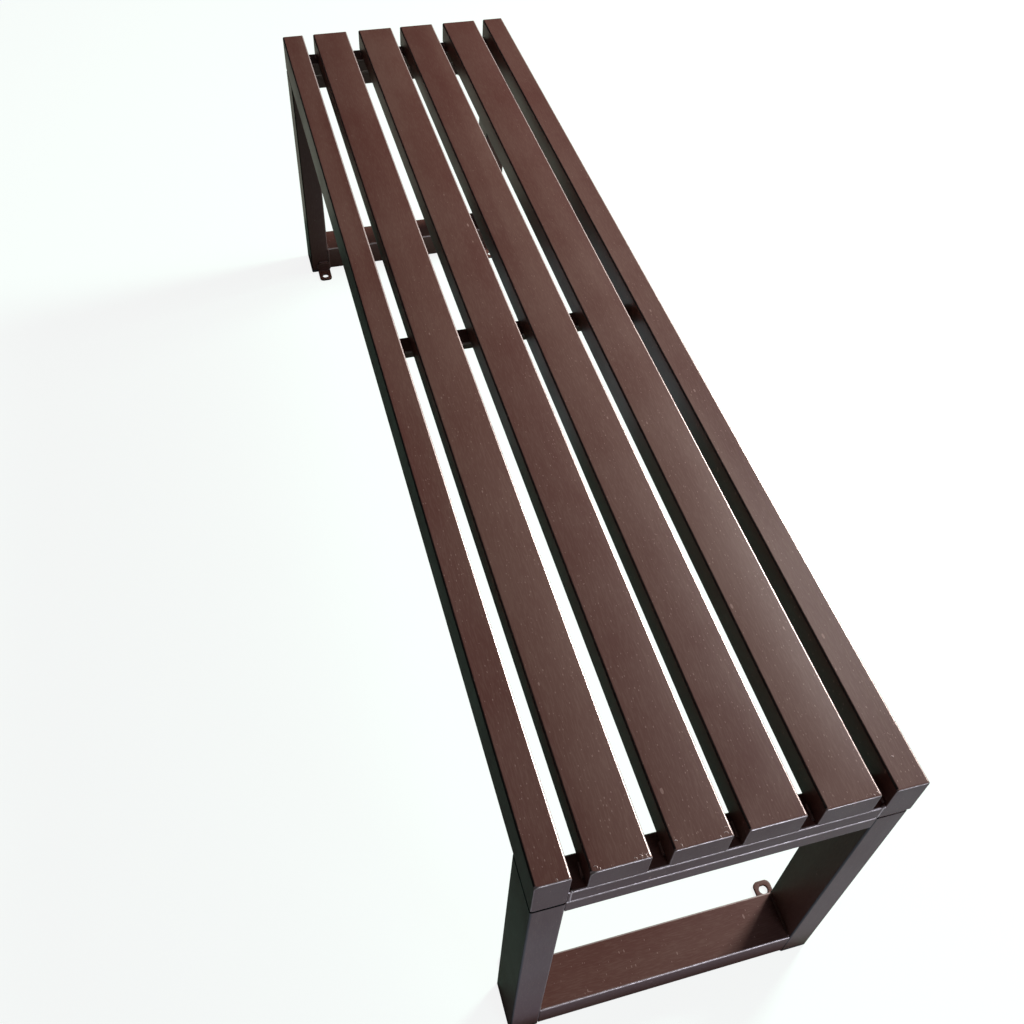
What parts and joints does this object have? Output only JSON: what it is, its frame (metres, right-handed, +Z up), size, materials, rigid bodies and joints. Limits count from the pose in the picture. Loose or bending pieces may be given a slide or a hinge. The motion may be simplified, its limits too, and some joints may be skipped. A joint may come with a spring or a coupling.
{
  "type": "park bench",
  "caption": "Backless slatted bench of painted rectangular steel tube on two closed leg frames, with drilled floor lugs for anchoring it.",
  "frame": {"origin": "on the floor the bench stands on, under the middle of the seat", "axes": "+X along the bench towards its near end in the picture, +Y across it to the picture's right, +Z up"},
  "size_m": [1.3, 0.335, 0.395],
  "materials": {
    "painted_steel": "satin dark brown spray paint, slightly rough, worn at the edges",
    "foot_plastic": "moulded, matt, near black",
    "zinc_steel": "zinc plated, dull"
  },
  "bodies": {
    "root": {"front_rail": "painted_steel", "rear_rail": "painted_steel", "slat_1": "painted_steel", "slat_2": "painted_steel", "slat_3": "painted_steel", "slat_4": "painted_steel", "end_tube_near": "painted_steel", "end_tube_far": "painted_steel", "mid_tube": "painted_steel", "rail_end_plates": "painted_steel", "slat_end_plates": "painted_steel", "leg_near_front": "painted_steel", "leg_near_rear": "painted_steel", "leg_far_front": "painted_steel", "leg_far_rear": "painted_steel", "header_near": "painted_steel", "header_far": "painted_steel", "sill_near": "painted_steel", "sill_far": "painted_steel", "leg_top_plates": "painted_steel", "foot_near_front": "foot_plastic", "foot_near_rear": "foot_plastic", "foot_far_front": "foot_plastic", "foot_far_rear": "foot_plastic", "lug_near_front": "painted_steel", "lug_near_rear": "painted_steel", "lug_far_front": "painted_steel", "lug_far_rear": "painted_steel", "frame_bolts": "zinc_steel", "bolt_washers": "zinc_steel", "weld_nuts": "zinc_steel"}
  },
  "joints": []
}
